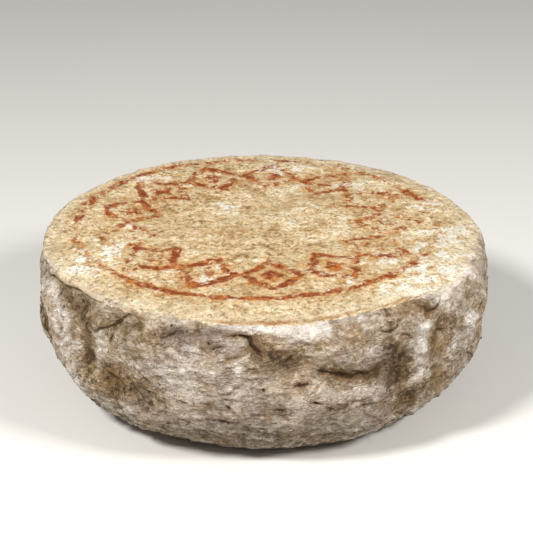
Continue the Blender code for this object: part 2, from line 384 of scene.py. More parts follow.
# Marks of white mould, bare brown rind and grey bloom: the bearing and height where each starts, those
# where it ends, its half width and its strength. The brown marks along the crease under the left lip
# are painted shade as well, and those on the far left darken that side
WHITE_MARKS = (
    (-10, 64.8, 0, 64.5, 3.2, 1.3), (-1, 64.5, 15, 64.0, 3.6, 1.7), (1, 61.5, 13, 61.8, 2.6, 1.1),
    (-11.6, 64.8, -6.8, 63.5, 3.5, 0.7), (16, 63.5, 30, 64.5, 4.0, 0.8),
    (-66.4, 59, -58.4, 54.2, 2.8, 1.0), (-58.4, 54.2, -54.4, 43.7, 3.6, 1.0),
    (-54.4, 43.7, -52.7, 37.7, 4.0, 0.8), (-52.7, 37.7, -50.9, 22.6, 4.0, 0.5),
    (39.7, 55.4, 38, 45, 4.2, 0.85), (37.6, 45, 39.7, 37.4, 3.8, 0.8), (55.5, 43, 51.1, 33.1, 3.8, 1.0),
    (60, 50, 57.9, 41.4, 3.5, 1.1), (27.7, 34.6, 22.3, 34.8, 4.0, 0.6),
    (20, 19.7, 25.7, 24.8, 4.0, 0.6), (4.9, 23.7, 8.4, 26.1, 3.0, 0.8),
    (-16.7, 35.8, -13.2, 35.6, 3.0, 0.8), (-19.3, 28.5, -16.1, 26.2, 3.0, 0.8),
    (47, 63.5, 60, 63, 4.5, 0.8), (-20, 46, -8, 44, 7.0, 0.45), (-42, 51.5, -39.5, 48, 3.2, 0.9),
    (0, 36, 22, 34, 4.5, 0.3), (14, 52, 26, 50, 5.0, 0.4),
)
BROWN_RIND_AND_SHADE_MARKS = (
    (-0.4, 55.6, 3.7, 51.5, 4.5, 0.9), (3.7, 51.5, 6.5, 49.5, 4.0, 0.9), (-60, 60, -50, 57.5, 3.4, 1.3),
    (-50, 57.5, -45.5, 50, 3.8, 1.1), (-45.5, 50, -46.3, 42, 3.0, 0.7),
    (-46.3, 42, -46.8, 33, 3.6, 0.9), (-81, 41, -74.6, 28.5, 6.5, 1.2),
    (-74.6, 28.5, -60, 24, 4.5, 1.0), (-27.2, 57.1, -20, 60.8, 3.0, 0.8),
    (-20, 60.8, -14, 64.2, 3.0, 0.7), (-31, 59.9, -15.5, 62.5, 5.0, 0.2),
    (-39.5, 34.5, -30, 30, 6.0, 1.5), (-49, 30, -38, 26, 5.0, 0.8), (-33, 32, -25, 30, 4.0, 0.7),
    (13.6, 44.8, 20.4, 41.6, 2.4, 1.0), (20.4, 41.6, 28.3, 41.2, 2.4, 1.0),
    (30.2, 50.9, 33.3, 45.7, 4.5, 1.0), (33.3, 45.7, 35.3, 38.4, 4.5, 1.0),
    (35.3, 38.4, 29.8, 31.5, 4.5, 0.8), (15.1, 29.4, 18.7, 30.1, 3.0, 0.9),
    (46.1, 55.5, 44.2, 50.4, 3.0, 0.7), (44.2, 50.4, 45.5, 36, 3.5, 0.6),
    (31.3, 64.0, 31, 61.8, 2.4, 0.9), (41, 62, 44, 61, 2.4, 0.5), (34, 26, 46, 29, 6.0, 0.9),
    (46, 29, 58, 36, 5.0, 0.6), (-88, 50, -78, 36, 6.0, 1.2), (-84, 60, -80, 50, 4.0, 0.8),
    (-70, 48, -66, 38, 4.0, 0.6),
)
GREY_MARKS = (
    (-20, 44, 8, 34, 12, 1.0), (-28, 24, 2, 20, 9, 1.0), (2, 20, 26, 18, 8, 0.9),
    (18, 52, 29, 47, 5, 1.0), (14, 35, 24, 35, 5, 0.8), (38, 58, 38, 44, 4, 0.8),
    (-14, 63, -7, 58, 4, 0.8),
)

# Marks like the front's round the rest of the side: how many there are, their half widths and heights,
# how many degrees and millimetres they run at most, and their strengths
OTHER_WHITE_MARKS = 42
OTHER_EARTH_MARKS = 26
OTHER_GREY_MARKS = 14
MARK_HALF_WIDTHS_MM = (3, 6)
GREY_HALF_WIDTHS_MM = (6, 12)
MARK_HEIGHTS_MM = (16, 64)
MARK_RUN = (7, 9)
MARK_STRENGTHS = (0.5, 1.1)
MARK_SEED = 11


def scattered_marks(count, half_widths, draw):
    """Marks round the side where the photograph doesn't show it."""
    marks = []
    for _ in range(count):
        bearing, height = draw.uniform(*OTHER_BEARINGS), draw.uniform(*MARK_HEIGHTS_MM)
        run, rise = [draw.uniform(-most, most) for most in MARK_RUN]
        half_width, strength = draw.uniform(*half_widths), draw.uniform(*MARK_STRENGTHS)
        marks.append((bearing, height, bearing + run, height + rise, half_width, strength))
    return marks


def mark_field(bearing, height_mm, marks):
    """How strongly a place on the side is marked, 0 to 1."""
    field = np.zeros(len(bearing))
    for start, low, end, high, half_width, strength in marks:
        turn = (bearing - start + 180) % 360 - 180
        spot = np.column_stack([turn * ARC_MM, height_mm - low])
        run = np.array([(end - start) * ARC_MM, high - low])
        share = np.clip(spot @ run / (run @ run), 0, 1)
        distance = np.linalg.norm(spot - share[:, None] * run, axis=1)
        field = np.maximum(field, strength * np.exp(-((distance / half_width) ** 2)))
    return field


def give_attribute(mesh, name, values):
    layer = mesh.attributes.new(name, "FLOAT", "POINT")
    layer.data.foreach_set("value", np.asarray(values, np.float32))


def by_bearing(bearing, table, column=1, period=360):
    """A column of a table whose rows start with a bearing, read between its rows."""
    rows = np.array(table, float)
    return np.interp(bearing, rows[:, 0], rows[:, column], period=period)


# How far the skin is laid below the solid's surface, so that its relief stays inside the solid's box,
# and over how many millimetres past the skin's edge that eases
TOP_SINK_MM = 0.75
SIDE_SINK_MM = 1.15
SINK_EASE_MM = 12

# Where each starts and is full: the lip, by the softness of the skin's edge, the flat base and the foot,
# by height, and the rim's paler skin, by how far past the edge it lies
LIP_SOFTNESS_MM = (3.0, 1.0)
BASE_HEIGHTS_MM = (3.0, 0.4)
FOOT_HEIGHTS_MM = (34, 12)
RIM_REACH_MM = (-14, -3)

# The side's ragged scales: how far one lies above the next in millimetres, how ragged their edges are,
# and the noise that those follow
BROAD_SCALES = (7.5, 1.3, "broad_scales")
SMALL_SCALES = (3.6, 1.3, "small_scales")

# How high each part of the relief stands, in millimetres, and how much higher at the foot
LUMPS_MM = 0.45
BROAD_MM = 0.65
GRAIN_MM = 0.25
CREASES_MM = 0.5
SMALL_MM, SMALL_FOOT_MM = 0.32, 0.40
WRINKLES_MM, WRINKLES_FOOT_MM = 0.3, 0.7
SWELL_MM = 0.25
BUMPS_MM = 0.50
PUCKER_MM = 0.30
TOP_GRAIN_MM = 0.35

# The middle values of the ridges and of the creases
RIDGES_MIDDLE = 0.3
CREASES_MIDDLE = 0.2

# The powder that gathers on the rind's shoulder: its strength, and how far from the edge it reaches
SHOULDER_POWDER = 0.8
SHOULDER_REACH_MM = 6

# How much paler a millimetre makes the side where it stands out, in its form and in its relief: partly
# dust, and partly painted light on what stands out and painted shade on what lies low
FORM_PALER = 0.12
RELIEF_PALER = 0.25

# How far from a crack the nearest flakes lie
CRACK_CLEAR_MM = 1.2247

# The share of the side's relief that full powder fills, and the least distance to either side of the
# skin's edge over which the top's relief gives way to the side's
POWDER_FILLS = 0.5
LEAST_RELIEF_BLEND_MM = 3.5


def dress_skin():
    """Carves the rind's own relief into the fine skin and notes what its material needs."""
    skin, stand_mm = fine_skin()
    mesh = skin.data
    place = points_mm(mesh)
    outward = normals(mesh)
    bearing = np.degrees(np.arctan2(place[:, 0], -place[:, 1]))
    height = place[:, 2]
    middle = np.zeros(len(place), np.float32)
    mesh.attributes["from_middle"].data.foreach_get("value", middle)
    reach = np.hypot(place[:, 0], place[:, 1])
    rim = np.abs(middle - FLAT_TOP_RADIUS) < 0.01 * MM
    order = np.argsort(bearing[rim])
    rim_reach = np.interp(bearing, bearing[rim][order], reach[rim][order], period=360)
    on_top = middle < FLAT_TOP_RADIUS
    down = np.where(on_top, reach, (middle - FLAT_TOP_RADIUS) / MM + rim_reach)

    # Where the cream top skin ends, sharply under the lip and softly elsewhere
    edge = by_bearing(bearing, SKIN_EDGE)
    soft = by_bearing(bearing, SKIN_EDGE, column=2)
    lip = smooth(*LIP_SOFTNESS_MM, soft)
    uneven = (EDGE_UNEVEN_MM + 0.5 * soft) * noise_at(place, "edge")
    past_edge = down - edge + uneven
    side = smooth(-1, 1, past_edge / soft)
    base = smooth(*BASE_HEIGHTS_MM, height)
    foot = smooth(*FOOT_HEIGHTS_MM, height) * side

    # The side: lumps, ragged scales of dry crust, wrinkles, creases, and a dry grain
    lumps = noise_at(place, "lumps")
    broad = scales_at(place, *BROAD_SCALES)
    broad_share = smooth(-0.20, 0.30, noise_at(place, "broad_patches"))
    small = scales_at(place, *SMALL_SCALES)
    small_share = smooth(-0.25, 0.30, noise_at(place, "small_patches"))
    wrinkles = ridges_at(place, "wrinkles")
    creases = ridges_at(place, "creases") ** 2
    grain = noise_at(place, "grain")
    shoulder = SHOULDER_POWDER * np.exp(-(((past_edge - 1) / SHOULDER_REACH_MM) ** 2)) * (1 - lip)
    draw = random.Random(MARK_SEED)
    white_marks = [*WHITE_MARKS, *scattered_marks(OTHER_WHITE_MARKS, MARK_HALF_WIDTHS_MM, draw)]
    brown_rind_and_shade_marks = [*BROWN_RIND_AND_SHADE_MARKS, *scattered_marks(OTHER_EARTH_MARKS, MARK_HALF_WIDTHS_MM, draw)]
    grey_marks = [*GREY_MARKS, *scattered_marks(OTHER_GREY_MARKS, GREY_HALF_WIDTHS_MM, draw)]
    white_mark = mark_field(bearing, height, white_marks) + shoulder
    bare = 1 - POWDER_FILLS * np.clip(white_mark, 0, 1)
    rough = BROAD_MM * broad_share * (broad - 0.5) + GRAIN_MM * grain
    rough = rough - CREASES_MM * (creases - CREASES_MIDDLE)
    small_relief = (SMALL_MM + SMALL_FOOT_MM * foot) * small_share * (small - 0.5)
    wrinkle_relief = (WRINKLES_MM + WRINKLES_FOOT_MM * foot) * (wrinkles - RIDGES_MIDDLE)
    rough = rough + (small_relief + wrinkle_relief)
    rough = LUMPS_MM * lumps + bare * smooth(-2, 5, past_edge) * rough
    # Where the side lies low under the scales' lips and in the creases: brown crust and painted shade
    hollow_crust_and_shade = broad_share * (1 - broad) ** 3 + 0.8 * small_share * (1 - small) ** 3 + 0.5 * creases

    # The top: skin that the cloth has pressed into low bumps and puckers
    pucker = PUCKER_MM * (ridges_at(place, "pucker") - RIDGES_MIDDLE)
    bumps = BUMPS_MM * noise_at(place, "bumps")
    fine = SWELL_MM * noise_at(place, "swell") + bumps + pucker + TOP_GRAIN_MM * grain

    # The cracks, each with a lip that curls up along one side of it
    across, width, depth = crack_fields(place, bearing, height)
    cut = CRACK_CUT_SHARE * depth * np.clip(1 - np.abs(across) / width, 0, 1)
    curl = LIP_RISE_MM * depth * smooth(0, 0.6, across) * np.exp(-((across / LIP_REACH_MM) ** 2))

    sink = mix(TOP_SINK_MM, SIDE_SINK_MM, smooth(0, SINK_EASE_MM, past_edge))
    relief_share = smooth(-1, 1, past_edge / np.maximum(soft, LEAST_RELIEF_BLEND_MM))
    relief = mix(fine, rough, relief_share) - sink + side * (curl - cut)
    relief *= 1 - base
    moved = place + outward * relief[:, None]
    moved[:, 2] = np.maximum(moved[:, 2], 0.0)
    mesh.vertices.foreach_set("co", (moved * MM).astype(np.float32).ravel())
    mesh.update()

    # What the material needs to know at each place
    patchy = smooth(-0.5, 0.3, noise_at(place, "stripe_patches"))
    patches = smooth(-0.25, 0.45, noise_at(place, "flake_patches"))
    inside = by_bearing(bearing, STRIPE, period=None)
    stripe_half = by_bearing(bearing, STRIPE, column=2, period=None)
    stripe = np.exp(-(((past_edge + inside) / stripe_half) ** 2)) * between(STRIPE_ENDS, bearing)
    pale = np.exp(-(((past_edge + PALE_LINE_MM) / PALE_LINE_HALF_MM) ** 2))
    notes = {
        "side_share": side,
        "relief_share": relief_share,
        "foot": foot,
        "rim": smooth(*RIM_REACH_MM, past_edge),
        "stripe": stripe * (0.55 + 0.45 * patchy),
        "pale_line": pale * between(PALE_LINE_ENDS, bearing) * patchy,
        "ink_left": by_bearing(bearing, INK_LEFT),
        # paler where it stands out and darker where it lies low: dust, and painted light and shade
        "stand": np.clip(0.5 + FORM_PALER * stand_mm + RELIEF_PALER * rough, 0, 1),
        "hollow_crust_and_shade": np.clip(hollow_crust_and_shade, 0, 1),
        "shoulder": shoulder,
        "white_mark": white_mark,
        "brown_rind_and_shade_mark": mark_field(bearing, height, brown_rind_and_shade_marks),
        "grey_mark": mark_field(bearing, height, grey_marks),
        "powder_mark": powder_field(place),
        "flake_bed": side * (1 - base) * (0.25 + 0.75 * patches) * (np.abs(across) > CRACK_CLEAR_MM),
        "crack_across_mm": across,
        "crack_depth": depth,
    }
    for name, values in notes.items():
        give_attribute(mesh, name, values)
    mesh.shade_smooth()
    return skin


def linear(hex_colour):
    """An sRGB hex colour as linear RGBA."""
    parts = [int(hex_colour[index:index + 2], 16) / 255 for index in (1, 3, 5)]
    return (*[c / 12.92 if c <= 0.04045 else ((c + 0.055) / 1.055) ** 2.4 for c in parts], 1.0)


def add_node(tree, kind, inputs=None, out="", stops=(), **settings):
    """Adds a node and gives back its output. A kind without the word Node is that of a shader node,
    inputs are values or other nodes' outputs, and stops are a colour ramp's places and hex colours."""
    made = tree.nodes.new(kind if "Node" in kind else "ShaderNode" + kind)
    for name, value in settings.items():
        setattr(made, name, value)
    for key, value in (inputs or {}).items():
        shown = [socket for socket in made.inputs if socket.enabled and socket.name == key]
        socket = shown[0] if shown else made.inputs[key]
        if isinstance(value, bpy.types.NodeSocket):
            tree.links.new(value, socket)
        else:
            socket.default_value = value
    for number, (position, hex_colour) in enumerate(stops):
        elements = made.color_ramp.elements
        stop = elements[number] if number < 2 else elements.new(position)
        stop.position = position
        stop.color = linear(hex_colour)
    shown = [socket for socket in made.outputs if socket.enabled]
    return next((socket for socket in shown if socket.name == out), shown[0])


# Noises that add up to a surface, high and pale in places and low and dark in others: each one's share
# of the sum, the size of a feature in millimetres, its finer detail and roughness, where it is read, and
# how far it is flattened into level streaks
SIDE_CRUST = (
    (0.26, 20, 2, 0.5, 0.0, 1.0),
    (0.40, 7, 4, 0.58, 0.31, 1.8),
    (0.34, 2.6, 3, 0.58, 0.62, 2.2),
)
FOOT_CRUST = (
    (0.35, 11, 4, 0.6, 0.93, 2.8),
    (0.65, 4.5, 5, 0.72, 1.24, 2.4),
)

# How much more contrast the foot's crust has than its noises
FOOT_GAIN = 0.5

TOP_SKIN = (
    (0.26, 14, 4, 0.6, 1.55, 1.0),
    (0.36, 5, 5, 0.7, 1.86, 1.0),
    (0.38, 2.0, 4, 0.72, 2.17, 1.0),
)

# Colours of those surfaces from their lowest places to their highest, the side's dark low places partly
# painted shade
CRUST_COLOURS = (
    (0.24, "#362411"), (0.33, "#574023"), (0.42, "#866F51"), (0.50, "#AF9E8A"), (0.58, "#CABFB2"),
    (0.68, "#EAE4DC"),
)
SKIN_COLOURS = (
    (0.37, "#7A5530"), (0.44, "#BD9767"), (0.50, "#DFC394"), (0.555, "#EFDDB9"), (0.62, "#FCF5E6"),
)

# Where the sums of parts that choose those colours start, so that they are 0.5 in the middle
SKIN_START = -0.0225
DUST_START = 0.01

# Stains: the size of one in millimetres, its finer detail and roughness, where its noise is read, and
# the noise values at which it starts and is full
STAINS = {
    "warm_zone": (18, 4, 0.55, 2.48, 0.46, 0.64),
    "lilac_zone": (24, 3, 0.55, 7.13, 0.55, 0.68),
    "large_flake": (9.0, 5, 0.62, 5.27, 0.485, 0.53),
    "small_flake": (4.2, 5, 0.66, 5.58, 0.49, 0.54),
    "fine_flake": (2.0, 4, 0.68, 5.89, 0.49, 0.56),
    "tan_stain": (8.0, 6, 0.66, 3.10, 0.52, 0.66),
    "olive_zone": (34, 4, 0.55, 3.41, 0.46, 0.64),
    "fleck": (1.7, 4, 0.66, 3.72, 0.55, 0.64),
    "crumb": (1.6, 4, 0.68, 4.03, 0.35, 0.65),
    "earth_crumb": (2.8, 5, 0.70, 8.06, 0.50, 0.54),
    "scale_patch": (8, 3, 0.6, 6.51, 0.42, 0.60),
    "ink_patch": (12, 3, 0.6, 6.82, 0.30, 0.70),
    "ink_smudge": (5.5, 5, 0.66, 7.44, 0.52, 0.60),
    "ink_speck": (1.4, 3, 0.60, 7.75, 0.58, 0.64),
    "ink_wear": (3.2, 5, 0.72, 4.34, -0.10, 0.10),
    "ink_depth": (3.4, 5, 0.68, 4.96, 0.40, 0.53),
}

# The noise value at which ink is half worn off where none is left, and how far that falls where all is
WEAR_MIDDLE = 0.79
WEAR_SPREAD = 0.34
WEAR_PATCHES = 0.20

# Pits: the cell that each sits in and its radius in millimetres, and the share of cells with none
PIT_CELL_MM = 5.0
PIT_RADIUS_MM = 0.8
PIT_BARE = 0.74


def noise_value(tree, place, size_mm, detail, roughness, shift=0.0, squash=1.0):
    """Noise of one size, about 0.5 in the middle, read some way off so that no two are alike."""
    off = {"Vector": place, "Location": (shift, shift, 0), "Scale": (1, 1, squash)}
    where = add_node(tree, "Mapping", off)
    inputs = {"Vector": where, "Scale": 1 / (size_mm * MM), "Detail": detail, "Roughness": roughness}
    return add_node(tree, "TexNoise", inputs)


def summed(tree, place, grains):
    """Noises added up by their shares, about 0.5 in the middle."""
    total = 0.0
    for share, *settings in grains:
        total = weighted(tree, total, [(noise_value(tree, place, *settings), share)])
    return total


def stain_shares(tree, place, ink_left):
    """How strongly each stain shows, 0 to 1, by name. The more ink is left, the less is worn off."""
    shares = {}
    for name, (*settings, start, full) in STAINS.items():
        value = noise_value(tree, place, *settings)
        if name == "ink_wear":
            parts = [(value, 1.0), (ink_left, WEAR_SPREAD), (shares["ink_patch"], WEAR_PATCHES)]
            value = weighted(tree, -WEAR_MIDDLE, parts)
        shares[name] = add_node(
            tree, "MapRange", {"Value": value, "From Min": start, "From Max": full},
            interpolation_type="SMOOTHSTEP",
        )
    return shares


def pit_share(tree, place):
    """Small round pits in some of the cells that the surface is divided into."""
    cells = add_node(tree, "TexVoronoi", {"Vector": place, "Scale": 1 / (PIT_CELL_MM * MM)})
    rim = PIT_RADIUS_MM / PIT_CELL_MM
    hole = add_node(
        tree, "MapRange", {"Value": cells, "From Min": rim, "From Max": 0.3 * rim},
        interpolation_type="SMOOTHSTEP",
    )
    draw = add_node(tree, "SeparateColor", {"Color": cells.node.outputs["Color"]})
    chosen = add_node(tree, "Math", {0: draw, 1: PIT_BARE}, operation="GREATER_THAN")
    return add_node(tree, "Math", {0: hole, 1: chosen}, operation="MULTIPLY")


# The fine scales of the side's crust: how far one lies above the next, in millimetres, how ragged their
# edges are, and over how many millimetres those edges wander
SCALE_RISE_MM = 1.7
SCALE_RAGGED = 5.0
SCALE_WANDER_MM = 4.5


def scale_heights(tree, leaning):
    """Overlapping scales, 0 to 1, that stand out most at their lower edges."""
    wander = noise_value(tree, leaning, SCALE_WANDER_MM, 4, 0.6)
    parts = add_node(tree, "SeparateXYZ", {"Vector": leaning}).node.outputs
    level = weighted(tree, 0.0, [(parts["Z"], 1 / (SCALE_RISE_MM * MM)), (wander, SCALE_RAGGED)])
    part = add_node(tree, "Math", {0: level}, operation="FRACT")
    face = add_node(tree, "MapRange", {"Value": part, "From Min": SCALE_FACE, "From Max": 0.0})
    underside = add_node(tree, "MapRange", {"Value": part, "From Min": SCALE_FACE, "From Max": 1.0})
    return add_node(tree, "Math", {0: face, 1: underside}, operation="MAXIMUM")


def laid_over(tree, ground, layers):
    """A ground colour with layers over it, each one or more shares from 0 to 1 that are multiplied, a
    colour and its greatest cover."""
    colour = ground
    for *shares, hex_colour, cover in layers:
        factor = cover
        for share in shares:
            factor = add_node(tree, "Math", {0: share, 1: factor}, operation="MULTIPLY")
        colour = add_node(
            tree, "Mix", {"Factor": factor, "A": colour, "B": linear(hex_colour)}, data_type="RGBA"
        )
    return colour


def weighted(tree, start, parts):
    """A value with others added to it, each times its weight."""
    total = start
    for value, weight in parts:
        total = add_node(tree, "Math", {0: value, 1: weight, 2: total}, operation="MULTIPLY_ADD")
    return total


# The stamp on the top: its middle in metres, the radius of its ring and half the width of the line, the
# band of lozenges inside it, how far the ink has bled, and how far and over what size the lines wobble
STAMP_MIDDLE = (-0.0035, 0.0075)
RING_RADIUS_MM = 77.5
RING_HALF_WIDTH_MM = 1.8
LOZENGES = 13
BAND_RADIUS_MM = 56.0
BAND_HALF_MM = 14.0
LOZENGE_HALF_HEIGHT_MM = 13.5
LOZENGE_HALF_WIDTH_MM = 12.0
LOZENGE_LINE_MM = 3.6
HEART_SHARE = 0.22
INK_BLEED_MM = 1.8
WOBBLE_MM = 9.0
WOBBLE_SIZE_MM = 12.0


def gap_from(tree, value, wanted):
    """How far a value is from the wanted one, to either side."""
    gap = weighted(tree, -wanted, [(value, 1.0)])
    return add_node(tree, "Math", {0: gap}, operation="ABSOLUTE")


def stamp_lines(tree, place):
    """How far a place is from the stamp's nearest line, in millimetres, a ring or a lozenge inside it,
    and whether it is in the band of lozenges."""
    aside = (-STAMP_MIDDLE[0], -STAMP_MIDDLE[1], 0)
    moved = add_node(tree, "Mapping", {"Vector": place, "Location": aside})
    sway = noise_value(tree, place, WOBBLE_SIZE_MM, 5, 0.68).node.outputs["Color"]
    sway = add_node(tree, "VectorMath", {0: sway, 1: (0.5, 0.5, 0.5)}, operation="SUBTRACT")
    swayed = add_node(
        tree, "VectorMath", {0: sway, 1: (WOBBLE_MM * MM,) * 3, 2: moved}, operation="MULTIPLY_ADD"
    )
    flat = add_node(tree, "VectorMath", {0: swayed, 1: (1 / MM, 1 / MM, 0)}, operation="MULTIPLY")
    radius = add_node(tree, "VectorMath", {0: flat}, out="Value", operation="LENGTH")
    parts = add_node(tree, "SeparateXYZ", {"Vector": flat}).node.outputs
    turn = add_node(tree, "Math", {0: parts["Y"], 1: parts["X"]}, operation="ARCTAN2")
    off_ring = gap_from(tree, radius, RING_RADIUS_MM)
    off_ring = weighted(tree, -RING_HALF_WIDTH_MM, [(off_ring, 1.0)])

    half_turn = pi / LOZENGES
    sector = add_node(tree, "Math", {0: turn, 1: half_turn, 2: -half_turn}, operation="WRAP")
    across = add_node(tree, "Math", {0: sector}, operation="ABSOLUTE")
    up = gap_from(tree, radius, BAND_RADIUS_MM)
    in_band = add_node(
        tree, "MapRange", {"Value": up, "From Min": BAND_HALF_MM + 2, "From Max": BAND_HALF_MM - 2}
    )
    across_turn = BAND_RADIUS_MM / LOZENGE_HALF_WIDTH_MM
    reach = weighted(tree, 0.0, [(across, across_turn), (up, 1 / LOZENGE_HALF_HEIGHT_MM)])
    off_line = gap_from(tree, reach, 1.0)
    off_heart = weighted(tree, -HEART_SHARE, [(reach, 1.0)])
    off_motif = add_node(tree, "Math", {0: off_line, 1: off_heart}, operation="MINIMUM")
    diagonal = hypot(LOZENGE_HALF_WIDTH_MM, LOZENGE_HALF_HEIGHT_MM)
    slope = LOZENGE_HALF_WIDTH_MM * LOZENGE_HALF_HEIGHT_MM / diagonal
    off_motif = weighted(tree, -LOZENGE_LINE_MM / 2, [(off_motif, slope)])
    return add_node(tree, "Math", {0: off_ring, 1: off_motif}, operation="MINIMUM"), in_band


def top_skin_colour(tree, place, skin, stains, notes):
    """Cream skin pressed by cloth, stained tan, dusted white, flecked dark, and stamped in plant ink."""
    patches = weighted(tree, 0.1, [(stains["large_flake"], 1.6)])
    powder = add_node(tree, "Math", {0: notes["powder_mark"], 1: patches}, operation="MULTIPLY")
    parts = [(powder, 0.22), (stains["small_flake"], 0.025), (stains["fine_flake"], 0.02)]
    high = weighted(tree, SKIN_START, [(skin, 1.0), *parts])
    ground = add_node(tree, "ValToRGB", {"Fac": high}, stops=SKIN_COLOURS)
    layers = (
        (stains["olive_zone"], "#BFA878", 0.3),
        (stains["tan_stain"], "#C48F50", 0.42),
        (notes["rim"], "#E6DABC", 0.35),
        (stains["fleck"], "#5D452C", 0.6),
        (notes["stripe"], "#9C6526", 0.9),
        (notes["pale_line"], "#FBF0DA", 0.9),
    )
    skin_colour = laid_over(tree, ground, layers)
    off, in_band = stamp_lines(tree, place)
    kept = stains["ink_wear"]
    line = add_node(tree, "MapRange", {"Value": off, "From Min": 0.5, "From Max": -0.5})
    bleed = add_node(tree, "MapRange", {"Value": off, "From Min": 2 * INK_BLEED_MM, "From Max": 0.0})
    inks = (
        (in_band, stains["ink_smudge"], notes["ink_left"], "#CF9044", 0.45),
        (bleed, kept, "#D18F40", 0.45),
        (line, kept, "#BF6618", 0.85),
        (line, kept, stains["ink_depth"], "#823208", 0.9),
        (bleed, kept, stains["ink_speck"], "#5A2809", 0.75),
    )
    return laid_over(tree, skin_colour, inks)


def side_mould_colour(tree, crust, scales, stains, notes, pits):
    """Dry grey-brown mould: white dust and painted light on what stands out, brown crust and painted
    shade in the hollows, under the scales' lips and in the pits.
    """
    # Paler where the side, its scales and flakes stand out and darker where they lie low: partly dust,
    # partly painted light and shade
    parts = (
        (notes["stand"], 0.15), (notes["white_mark"], 0.11), (notes["brown_rind_and_shade_mark"], -0.11),
        (scales, 0.05),
        (stains["large_flake"], 0.05), (stains["small_flake"], 0.04), (stains["fine_flake"], 0.04),
    )
    dust_light_and_shade = weighted(tree, DUST_START, [(crust, 0.65), *parts])
    ground = add_node(tree, "ValToRGB", {"Fac": dust_light_and_shade}, stops=CRUST_COLOURS)
    # Painted shadow just below each scale's lip, where the scale above overhangs it
    under = add_node(tree, "MapRange", {"Value": scales, "From Min": 0.20, "From Max": 0.03})
    powder = add_node(
        tree, "MapRange", {"Value": notes["white_mark"], "From Min": 1.0, "From Max": 1.8},
        interpolation_type="SMOOTHSTEP",
    )
    brown_rind_and_shade = add_node(tree, "MapRange", {"Value": notes["brown_rind_and_shade_mark"], "From Min": 0.2, "From Max": 0.9})
    layers = (
        (stains["warm_zone"], "#B8966A", 0.32),
        (stains["lilac_zone"], "#A39A9C", 0.35),
        (notes["grey_mark"], "#B0A59C", 0.40),
        (notes["shoulder"], "#D8C4A4", 0.45),
        # brown crust and painted shade in the hollows and creases
        (notes["hollow_crust_and_shade"], "#583F20", 0.60),
        # painted shadow under the scales' lips
        (under, "#463018", 0.50),
        # bare brown rind, and painted shade along the crease under the left lip
        (brown_rind_and_shade, stains["earth_crumb"], "#3A2913", 0.9),
        (stains["fleck"], "#54432E", 0.42),
        # painted shade in the pits
        (pits, "#35271A", 0.85),
        (powder, "#E4DCD2", 0.65),
    )
    return laid_over(tree, ground, layers)


NOTES = (
    "ink_left", "side_share", "relief_share", "foot", "rim", "stripe", "pale_line", "shoulder", "stand",
    "hollow_crust_and_shade", "white_mark", "brown_rind_and_shade_mark", "grey_mark", "powder_mark", "crack_across_mm", "crack_depth",
)


